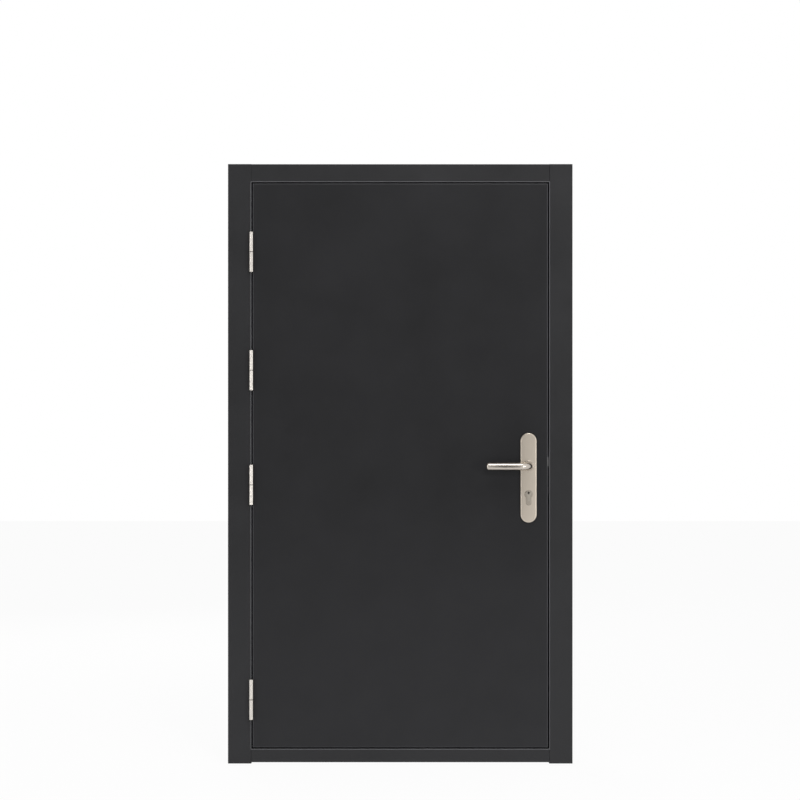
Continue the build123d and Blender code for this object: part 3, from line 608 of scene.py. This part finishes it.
LEVER_STEEL = BrushedSteel(
    "brushed_lever", grey(0.56, 0.51, 0.455), 0.25, "handle_steel", Grain.ALONG_X
)
HINGE_STEEL = BrushedSteel(
    "brushed_hinge", grey(0.70, 0.66, 0.61), 0.30, "hinge_steel", scratch=0.05, depth=6.0 * MICRON
)
PIN_STEEL = TurnedMetal("ground_steel", grey(0.52, 0.52, 0.52), 0.25, "pin_steel")
PLATED_STEEL = TurnedMetal("zinc_plate", grey(0.58, 0.58, 0.57), 0.38, "plated_steel", 0.12)
BLACKED_STEEL = TurnedMetal("blacked_steel", grey(0.040, 0.040, 0.042), 0.45, "lock_steel")
LOCK_STEEL = TurnedMetal("satin_lock", grey(0.60, 0.60, 0.59), 0.30, "lock_steel")
WASHER_BRASS = TurnedMetal("dull_washer", grey(0.16, 0.15, 0.135), 0.46, "washer_brass")
CYLINDER_NICKEL = CylinderNickel("satin_nickel", grey(0.53, 0.485, 0.415), 0.30, "cylinder_nickel")


class Shape:
    """A piece's mesh in the making, in metres."""

    def __init__(self) -> None:
        """Start empty."""
        self.mesh = bmesh.new()

    def turn(self, points: list[Pair], steps: int) -> "Shape":
        """Spin a profile all round the Z axis.

        Args:
            points: the profile's corners, as radius and height.
            steps: how many faces go round.

        Returns:
            This shape.
        """
        corners = [self.mesh.verts.new((radius, 0.0, height)) for radius, height in points]
        edges = [self.mesh.edges.new(pair) for pair in zip(corners, corners[1:])]
        bmesh.ops.spin(
            self.mesh, geom=corners + edges, cent=(0, 0, 0), axis=(0, 0, 1),
            angle=math.tau, steps=steps, use_merge=True,
        )
        bmesh.ops.remove_doubles(self.mesh, verts=self.mesh.verts, dist=MERGE_REACH)
        return self

    def recess(self, corners: int, radius: float, depth: float, taper: float = 0.08) -> "Shape":
        """Close the open top at height 0 with a flat ring round a cornered recess.

        Args:
            corners: the recess's number of corners.
            radius: the reach of its corners.
            depth: how deep it is.
            taper: how much narrower its floor is, as a share of its reach.

        Returns:
            This shape.
        """
        rim = [edge for edge in self.mesh.edges if edge.is_boundary]
        made = bmesh.ops.create_circle(self.mesh, cap_ends=True, segments=corners, radius=radius)
        floor = made["verts"][0].link_faces[0]
        bmesh.ops.bridge_loops(self.mesh, edges=rim + list(floor.edges))
        bmesh.ops.inset_individual(
            self.mesh, faces=[floor], thickness=radius * taper, depth=-depth
        )
        return self

    def block(self, size: Point, centre: Point, rounding: float) -> "Shape":
        """Add a block with rounded edges.

        Args:
            size: its sizes along X, Y and Z.
            centre: its middle.
            rounding: the radius of its edges.

        Returns:
            This shape.
        """
        made = bmesh.ops.create_cube(self.mesh, size=1.0)["verts"]
        bmesh.ops.scale(self.mesh, vec=size, verts=made)
        bmesh.ops.translate(self.mesh, vec=centre, verts=made)
        edges = list(dict.fromkeys(edge for vert in made for edge in vert.link_edges))
        bmesh.ops.bevel(
            self.mesh, geom=edges, offset=rounding, affect="EDGES",
            segments=BEVEL_STEPS, profile=BEVEL_ROUND, material=-1,
        )
        return self

    def bar(self, radii: Pair, length: float, centre: Point) -> "Shape":
        """Add an oval bar along Z.

        Args:
            radii: its reach along X and Y.
            length: its length.
            centre: its middle.

        Returns:
            This shape.
        """
        made = bmesh.ops.create_cone(
            self.mesh, cap_ends=True, segments=BAR_FACES, radius1=1.0, radius2=1.0, depth=length
        )["verts"]
        bmesh.ops.scale(self.mesh, vec=(*radii, 1.0), verts=made)
        bmesh.ops.translate(self.mesh, vec=centre, verts=made)
        return self

    def ripple(self, radii: Point, centre: Point) -> "Shape":
        """Add one flattened drop of a weld bead.

        Args:
            radii: its reach along X, Y and Z.
            centre: its middle.

        Returns:
            This shape.
        """
        made = bmesh.ops.create_icosphere(self.mesh, subdivisions=DROP_DETAIL, radius=1.0)["verts"]
        bmesh.ops.scale(self.mesh, vec=radii, verts=made)
        bmesh.ops.translate(self.mesh, vec=centre, verts=made)
        return self

    def placed(self, matrix: Matrix) -> "Shape":
        """Turn and move this shape."""
        bmesh.ops.transform(self.mesh, matrix=matrix, verts=self.mesh.verts)
        return self

    def join(self, other: "Shape") -> "Shape":
        """Take in another shape.

        Args:
            other: the other shape, which is freed.

        Returns:
            This shape.
        """
        carrier = bpy.data.meshes.new("carrier")
        other.mesh.to_mesh(carrier)
        other.mesh.free()
        self.mesh.from_mesh(carrier)
        bpy.data.meshes.remove(carrier)
        return self


@dataclass(frozen=True)
class Screw:
    """Countersunk or set screw with a hexagonal recess, given as radii and lengths."""

    shank: float
    head: float
    head_depth: float
    length: float
    steps: int = 30
    head_edge: float = 0.1 * MM
    tip_share: float = 0.12
    recess_share: float = 0.52
    recess_depth_share: float = 0.8

    def shape(self, head: Point, towards: Point) -> Shape:
        """This screw in its place.

        Args:
            head: the middle of its head's face.
            towards: the direction from its head to its tip.

        Returns:
            Its shape.
        """
        tip = self.tip_share * self.shank
        profile = [
            (self.head - self.head_edge, 0.0),
            (self.head, -self.head_edge),
            (self.shank, -self.head_depth),
            (self.shank, tip - self.length),
            (self.shank - tip, -self.length),
            (0.0, -self.length),
        ]
        reach = self.recess_share * self.head
        depth = self.recess_depth_share * max(self.head_depth, self.shank / 2)
        turned = Shape().turn(profile, self.steps).recess(HEXAGON, reach, depth)
        spin = Vector(towards).to_track_quat("-Z", "Y").to_matrix().to_4x4()
        return turned.placed(Matrix.Translation(head) @ spin)

    def set_of(self, places: list[tuple[Point, Point]]) -> Shape:
        """Several of this screw in one shape.

        Args:
            places: each one's head and direction.

        Returns:
            Their shape.
        """
        joined = Shape()
        for head, towards in places:
            joined.join(self.shape(head, towards))
        return joined


@dataclass
class Assembly:
    """A group of pieces that carries its own sizes and dresses itself."""

    name: str

    def dress(self, finish: Finish, *nodes: str) -> None:
        """Give CAD nodes a finish in place of their plain one.

        Args:
            finish: the finish.
            nodes: the nodes' names.
        """
        for node in nodes:
            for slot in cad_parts[node].material_slots:
                slot.material = finish.material()
            log.info("%s: dressed %s in %s", self.name, node, finish.name)

    def add(
        self, name: str, shape: Shape, finish: Finish, body: str, node: str | None = None
    ) -> bpy.types.Object:
        """Turn a shape into a piece that rides on a body.

        Args:
            name: the piece's name.
            shape: its mesh, in the shared frame; it is freed here.
            finish: its finish.
            body: the body that it moves with.
            node: the CAD node that it stands for, if any.

        Returns:
            The new object.
        """
        bmesh.ops.recalc_face_normals(shape.mesh, faces=shape.mesh.faces)
        mesh = bpy.data.meshes.new(name)
        shape.mesh.to_mesh(mesh)
        shape.mesh.free()
        mesh.shade_smooth()
        mesh.set_sharp_from_angle(angle=SHARP_ANGLE)
        piece = bpy.data.objects.new(name, mesh)
        bpy.context.scene.collection.objects.link(piece)
        mesh.materials.append(finish.material())
        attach(piece, body)
        if node is not None:
            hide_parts(node)
        log.info("%s: made %s with %d faces", self.name, name, len(mesh.polygons))
        return piece

    def build(self) -> None:
        """Dress this assembly's nodes and make its pieces."""
        raise NotImplementedError


@dataclass
class FrameMembers(Assembly):
    """Jambs, head, sill, the seals on their stops, the strike and the welds at the back."""

    seal_base: float = 1.5 * MM
    seal_edge: float = 0.3 * MM
    bulb: Pair = (3.6 * MM, 1.65 * MM)
    lip: Pair = (0.8 * MM, 1.1 * MM)
    bead_radii: Pair = (3.0 * MM, 1.1 * MM)
    bead_pitch: float = 2.6 * MM
    bead_squash: float = 0.8
    bead_wander: float = 0.25 * MM
    wander_step: float = 1.7
    joint_x: float = 477.0 * MM
    joint_reach: dict[str, Pair] = field(default_factory=lambda: {
        "head": (1922.0 * MM, 1996.0 * MM),
        "sill": (8.0 * MM, 64.0 * MM),
    })
    strike_screw: Screw = Screw(2.5 * MM, 4.6 * MM, 2.4 * MM, 12.0 * MM)

    def seal(self, node: str) -> None:
        """Replace a plain strip by a base with a hollow-looking bulb and two lips.

        Args:
            node: the strip's CAD node.
        """
        low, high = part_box(node)
        size = high - low
        length, width = max(size.x, size.z), min(size.x, size.z)
        crest = size.y - self.seal_base
        base_y = size.y / 2 - self.seal_base / 2
        bulb_y = size.y / 2 - self.seal_base - crest / 2
        strip = Shape().block((width, self.seal_base, length), (0.0, base_y, 0.0), self.seal_edge)
        strip.bar((self.bulb[0], crest / 2), length, (0.0, bulb_y, 0.0))
        for side in (-1, 1):
            foot = (side * (width / 2 - self.lip[0]), base_y - self.seal_base / 2, 0.0)
            strip.bar(self.lip, length, foot)
        level = size.x > size.z
        turned = Matrix.Rotation(math.pi / 2, 4, "Y") if level else Matrix.Identity(4)
        strip.placed(Matrix.Translation((low + high) / 2) @ turned)
        self.add(f"{node}_profile", strip, SEAL_RUBBER, "frame", node)

    def weld(self, name: str, side: int, reach: Pair) -> None:
        """Lay a painted weld bead up the back of a corner joint.

        Args:
            name: the bead's name.
            side: -1 for the hinge side, 1 for the lock side.
            reach: its lowest and highest point.
        """
        across, proud = self.bead_radii
        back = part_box("frame_jamb_hinge_side")[1].y
        bead = Shape()
        for number in range(int((reach[1] - reach[0]) / self.bead_pitch) + 1):
            x = side * self.joint_x + self.bead_wander * math.sin(number * self.wander_step)
            place = (x, back, reach[0] + number * self.bead_pitch)
            bead.ripple((across, proud, self.bead_squash * across), place)
        self.add(name, bead, FRAME_COAT, "frame")

    def strike_screws(self) -> None:
        """Recessed screws in the strike plate."""
        low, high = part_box("strike_screws")
        inset = self.strike_screw.head
        heights = (low.z + inset, high.z - inset)
        screws = self.strike_screw.set_of([((low.x, 0.0, height), (1, 0, 0)) for height in heights])
        self.add("strike_screw_set", screws, BLACKED_STEEL, "frame", "strike_screws")

    def build(self) -> None:
        """Coat the folded sheets, lay the seals and the welds, and set the screws."""
        self.dress(FRAME_COAT, "frame_jamb_hinge_side", "frame_jamb_lock_side")
        self.dress(FRAME_COAT, "frame_head", "frame_sill")
        self.dress(PLATED_STEEL, "frame_hinge_plates", "strike_box")
        self.dress(BLACKED_STEEL, "strike_plate")
        for node in ("seal_hinge_side", "seal_lock_side", "seal_head", "seal_sill"):
            self.seal(node)
        for member, reach in self.joint_reach.items():
            for side, word in ((-1, "hinge"), (1, "lock")):
                self.weld(f"weld_{member}_{word}_side", side, reach)
        self.strike_screws()


@dataclass
class Leaf(Assembly):
    """Skins, core and hidden plates of the leaf."""

    def build(self) -> None:
        """Coat the skins and dress what they hide."""
        self.dress(LEAF_COAT, "leaf_outer_skin", "leaf_inner_skin")
        self.dress(CORE_BOARD, "leaf_core")
        self.dress(PLATED_STEEL, "leaf_reinforcements")


@dataclass
class Hinges(Assembly):
    """Four lift-off hinges with recessed screws in their flags."""

    screw: Screw = Screw(2.5 * MM, 4.6 * MM, 2.4 * MM, 11.0 * MM)
    spacing: float = 34.0 * MM
    flag_middle: float = 33.0 * MM

    def screws(self) -> None:
        """Replace the screws of both halves."""
        on_frame, on_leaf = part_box("hinge_screws_frame"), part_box("hinge_screws_leaf")
        depth = (on_frame[0].y + on_frame[1].y) / 2
        frame_places, leaf_places = [], []
        for number in range(1, HINGE_COUNT + 1):
            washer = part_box(f"hinge_washer_{number}")
            joint = (washer[0].z + washer[1].z) / 2
            for offset in (-self.spacing / 2, self.spacing / 2):
                frame_head = (on_frame[1].x, depth, joint - self.flag_middle + offset)
                leaf_head = (on_leaf[0].x, depth, joint + self.flag_middle + offset)
                frame_places.append((frame_head, (-1, 0, 0)))
                leaf_places.append((leaf_head, (1, 0, 0)))
        for body, places in (("frame", frame_places), ("leaf", leaf_places)):
            screws = self.screw.set_of(places)
            self.add(f"hinge_screw_set_{body}", screws, PLATED_STEEL, body, f"hinge_screws_{body}")

    def build(self) -> None:
        """Dress barrels, pins and washers, and set the screws."""
        for number in range(1, HINGE_COUNT + 1):
            self.dress(HINGE_STEEL, f"hinge_frame_half_{number}", f"hinge_leaf_half_{number}")
            self.dress(PIN_STEEL, f"hinge_pin_{number}")
            self.dress(WASHER_BRASS, f"hinge_washer_{number}")
        self.screws()


@dataclass
class Lock(Assembly):
    """Mortice lock and profile cylinder."""

    screw: Screw = Screw(2.5 * MM, 4.6 * MM, 2.4 * MM, 11.0 * MM)

    def forend_screws(self) -> None:
        """Recessed screws in the forend."""
        low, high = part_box("lock_forend_screws")
        heights = (low.z + self.screw.head, high.z - self.screw.head)
        screws = self.screw.set_of([((high.x, 0.0, height), (-1, 0, 0)) for height in heights])
        self.add("forend_screw_set", screws, PLATED_STEEL, "leaf", "lock_forend_screws")

    def cylinder_screw(self) -> None:
        """Long screw through the forend into the cylinder."""
        low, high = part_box("cylinder_screw")
        screw = replace(self.screw, length=high.x - low.x)
        shape = screw.shape((high.x, 0.0, (low.z + high.z) / 2), (-1, 0, 0))
        self.add("cylinder_long_screw", shape, PLATED_STEEL, "leaf", "cylinder_screw")

    def build(self) -> None:
        """Dress the lock's pieces and set its screws."""
        self.dress(LOCK_STEEL, "lock_forend", "latch_bolt", "dead_bolt")
        self.dress(PLATED_STEEL, "lock_case", "lock_case_cover")
        self.dress(PIN_STEEL, "follower", "spindle", "latch_spring", "lever_spring")
        self.dress(CYLINDER_NICKEL, "cylinder_body", "key_plug_outer", "key_plug_inner", "key_cam")
        self.forend_screws()
        self.cylinder_screw()


@dataclass
class Handles(Assembly):
    """Handle plates, bushes, levers and their screws on both sides."""

    screw: Screw = Screw(3.0 * MM, 6.0 * MM, 3.2 * MM, 60.0 * MM)
    set_screw: Screw = Screw(3.0 * MM, 3.0 * MM, 0.3 * MM, 8.7 * MM)

    def through_screws(self) -> None:
        """Recessed through screws, with their heads in the inner plate."""
        low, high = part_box("handle_screws")
        x, inset = (low.x + high.x) / 2, self.screw.head
        heights = (low.z + inset, high.z - inset)
        screws = self.screw.set_of([((x, high.y, height), (0, -1, 0)) for height in heights])
        self.add("handle_screw_set", screws, BUSH_STEEL, "leaf", "handle_screws")

    def set_screws(self) -> None:
        """Set screws below both levers' necks."""
        low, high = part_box("lever_grub_screws")
        x, radius = (low.x + high.x) / 2, self.set_screw.head
        depths = (low.y + radius, high.y - radius)
        screws = self.set_screw.set_of([((x, depth, low.z), (0, 0, 1)) for depth in depths])
        self.add("lever_set_screws", screws, PIN_STEEL, "lever", "lever_grub_screws")

    def build(self) -> None:
        """Dress both sides alike and set the screws."""
        for side in ("outer", "inner"):
            self.dress(PLATE_STEEL, f"handle_plate_{side}")
            self.dress(BUSH_STEEL, f"lever_bush_{side}")
            self.dress(PLATED_STEEL, f"handle_base_{side}")
            self.dress(LEVER_STEEL, f"lever_{side}")
        self.through_screws()
        self.set_screws()


@dataclass(frozen=True)
class Lamp:
    """Soft rectangular lamp that faces the door's middle."""

    name: str
    place: Point
    size: Pair
    power: float
    mirrored: bool = True

    def build(self, target: Vector) -> None:
        """Add the lamp to the scene.

        Args:
            target: the point that it faces.
        """
        data = bpy.data.lights.new(self.name, "AREA")
        data.shape = "RECTANGLE"
        data.size, data.size_y = self.size
        data.energy = self.power
        lamp = bpy.data.objects.new(self.name, data)
        lamp.location = self.place
        away = target - Vector(self.place)
        lamp.rotation_euler = away.to_track_quat("-Z", "Y").to_euler()
        lamp.visible_glossy = self.mirrored
        bpy.context.scene.collection.objects.link(lamp)


LAMPS = (
    Lamp("overhead", (0.6, -1.9, 3.6), (1.6, 1.0), 26.0),
    Lamp("left_front", (-3.4, -3.0, 1.2), (0.8, 3.0), 35.0),
    Lamp("right_front", (3.0, -3.4, 0.8), (1.2, 2.4), 35.0),
    Lamp("behind", (-1.5, 3.6, 2.4), (2.0, 1.4), 45.0),
    Lamp("low_front", (0.9, -2.8, 0.3), (2.4, 0.5), 4.0, mirrored=False),
    Lamp("high_front", (0.9, -3.6, 2.3), (0.5, 0.4), 42.0, mirrored=False),
)


@dataclass
class Studio:
    """White studio: camera straight in front, soft lamps, pale floor."""

    image_side: float = 800.0
    metres_per_pixel: float = 2.0 / 599.47
    foot_row: float = 763.55
    centre_column: float = 400.27
    distance: float = 6.0
    fill: float = 0.42
    white: Color = grey(1.0, 1.0, 1.0)
    black: Color = grey(0.0, 0.0, 0.0)
    ahead_grey: float = 0.66
    darkest_grey: float = 0.25
    lean: Pair = (0.36, 0.26)
    floor_side: float = 24.0
    floor_color: Color = grey(0.95, 0.95, 0.95)
    floor_glow: float = 0.94
    floor_gloss: float = 1.0
    flag_size: Pair = (0.085, 0.60)
    flag_place: Point = (0.374, -0.43, 1.06)
    flag_color: Color = grey(0.08, 0.08, 0.08)
    front: float = field(default_factory=lambda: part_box("frame_head")[0].y)
    target: Vector = field(default_factory=lambda: Vector((0.0, 0.0, 1.0)))

    def camera(self) -> None:
        """Camera level with the photograph's middle row, a few metres in front of the door."""
        data = bpy.data.cameras.new("camera")
        data.lens = data.sensor_width * self.distance / (self.image_side * self.metres_per_pixel)
        height = (self.foot_row - self.image_side / 2) * self.metres_per_pixel
        side = (self.image_side / 2 - self.centre_column) * self.metres_per_pixel
        camera = bpy.data.objects.new("camera", data)
        camera.location = (side, self.front - self.distance, height)
        camera.rotation_euler = (math.pi / 2, 0.0, 0.0)
        bpy.context.scene.collection.objects.link(camera)
        bpy.context.scene.camera = camera

    def world(self) -> None:
        """White all round; metal sees it greyer low on the left and whiter high on the right."""
        world = bpy.data.worlds.new("studio")
        bpy.context.scene.world = world
        world.use_nodes = True
        graph = Graph(world.node_tree)
        x, _, z = graph.axes(graph.node("ShaderNodeTexCoord").outputs["Generated"])
        sideways, upwards = self.lean
        level = (x * sideways + z * upwards + self.ahead_grey).clamped(self.darkest_grey, 1.0)
        path = graph.node("ShaderNodeLightPath")
        glossy = graph.value(path, "Is Glossy Ray")
        straight = graph.value(path, "Is Camera Ray")
        seen = (straight + glossy + graph.value(path, "Is Transmission Ray")).clamped()
        tone = graph.mix(glossy * (1.0 - level), self.white, self.black)
        shown = graph.node("ShaderNodeBackground", sockets={"Color": tone})
        light = graph.node(
            "ShaderNodeBackground", sockets={"Color": self.white, "Strength": self.fill}
        )
        ends = {0: seen, 1: light.outputs[0], 2: shown.outputs[0]}
        mixed = graph.node("ShaderNodeMixShader", sockets=ends)
        graph.node("ShaderNodeOutputWorld", sockets={"Surface": mixed.outputs[0]})

    def sheet(self, name: str, size: Pair, matrix: Matrix) -> bpy.types.Object:
        """Flat sheet, which isn't part of the door.

        Args:
            name: its name, and its material's.
            size: its sizes along its own X and Y.
            matrix: its place.

        Returns:
            The sheet, with an empty material.
        """
        shape = bmesh.new()
        bmesh.ops.create_grid(shape, x_segments=1, y_segments=1, size=0.5)
        bmesh.ops.scale(shape, vec=(*size, 1.0), verts=shape.verts)
        bmesh.ops.transform(shape, matrix=matrix, verts=shape.verts)
        mesh = bpy.data.meshes.new(name)
        shape.to_mesh(mesh)
        shape.free()
        sheet = bpy.data.objects.new(name, mesh)
        bpy.context.scene.collection.objects.link(sheet)
        material = bpy.data.materials.new(name)
        material.use_nodes = True
        mesh.materials.append(material)
        return sheet

    def flag(self) -> None:
        """Dark flag in front of the grip that only its polish shows."""
        matrix = Matrix.Translation(self.flag_place) @ Matrix.Rotation(math.pi / 2, 4, "X")
        flag = self.sheet("flag", self.flag_size, matrix)
        flag.visible_camera = flag.visible_diffuse = False
        flag.visible_shadow = flag.visible_transmission = False
        graph = Graph(flag.data.materials[0].node_tree)
        dark = graph.node("ShaderNodeBsdfDiffuse", sockets={"Color": self.flag_color})
        graph.node("ShaderNodeOutputMaterial", sockets={"Surface": dark.outputs[0]})

    def floor(self) -> None:
        """Pale floor that keeps the door's shadow and is near white to the camera."""
        floor = self.sheet("floor", (self.floor_side, self.floor_side), Matrix.Identity(4))
        graph = Graph(floor.data.materials[0].node_tree)
        matt = graph.node("ShaderNodeBsdfDiffuse", sockets={"Color": self.floor_color})
        glow = graph.node("ShaderNodeEmission", sockets={"Color": self.white, "Strength": 1.0})
        path = graph.node("ShaderNodeLightPath")
        straight = graph.value(path, "Is Camera Ray") + graph.value(path, "Is Transmission Ray")
        glossy = graph.value(path, "Is Glossy Ray")
        seen = straight * self.floor_glow + glossy * self.floor_gloss
        ends = {0: seen, 1: matt.outputs[0], 2: glow.outputs[0]}
        mixed = graph.node("ShaderNodeMixShader", sockets=ends)
        graph.node("ShaderNodeOutputMaterial", sockets={"Surface": mixed.outputs[0]})

    def build(self) -> None:
        """Set the colour management, camera, world, floor, flag and lamps."""
        bpy.context.scene.view_settings.view_transform = "Standard"
        self.camera()
        self.world()
        self.floor()
        self.flag()
        for lamp in LAMPS:
            lamp.build(self.target)
        log.info("studio: set %d lamps", len(LAMPS))


def main() -> None:
    """Build every assembly, then the studio."""
    logging.basicConfig(level=logging.INFO, format="%(message)s")
    assemblies = [
        FrameMembers("frame"),
        Leaf("leaf"),
        Hinges("hinges"),
        Lock("lock"),
        Handles("handles"),
    ]
    for assembly in assemblies:
        assembly.build()
    Studio().build()


if __name__ == "__main__":
    main()
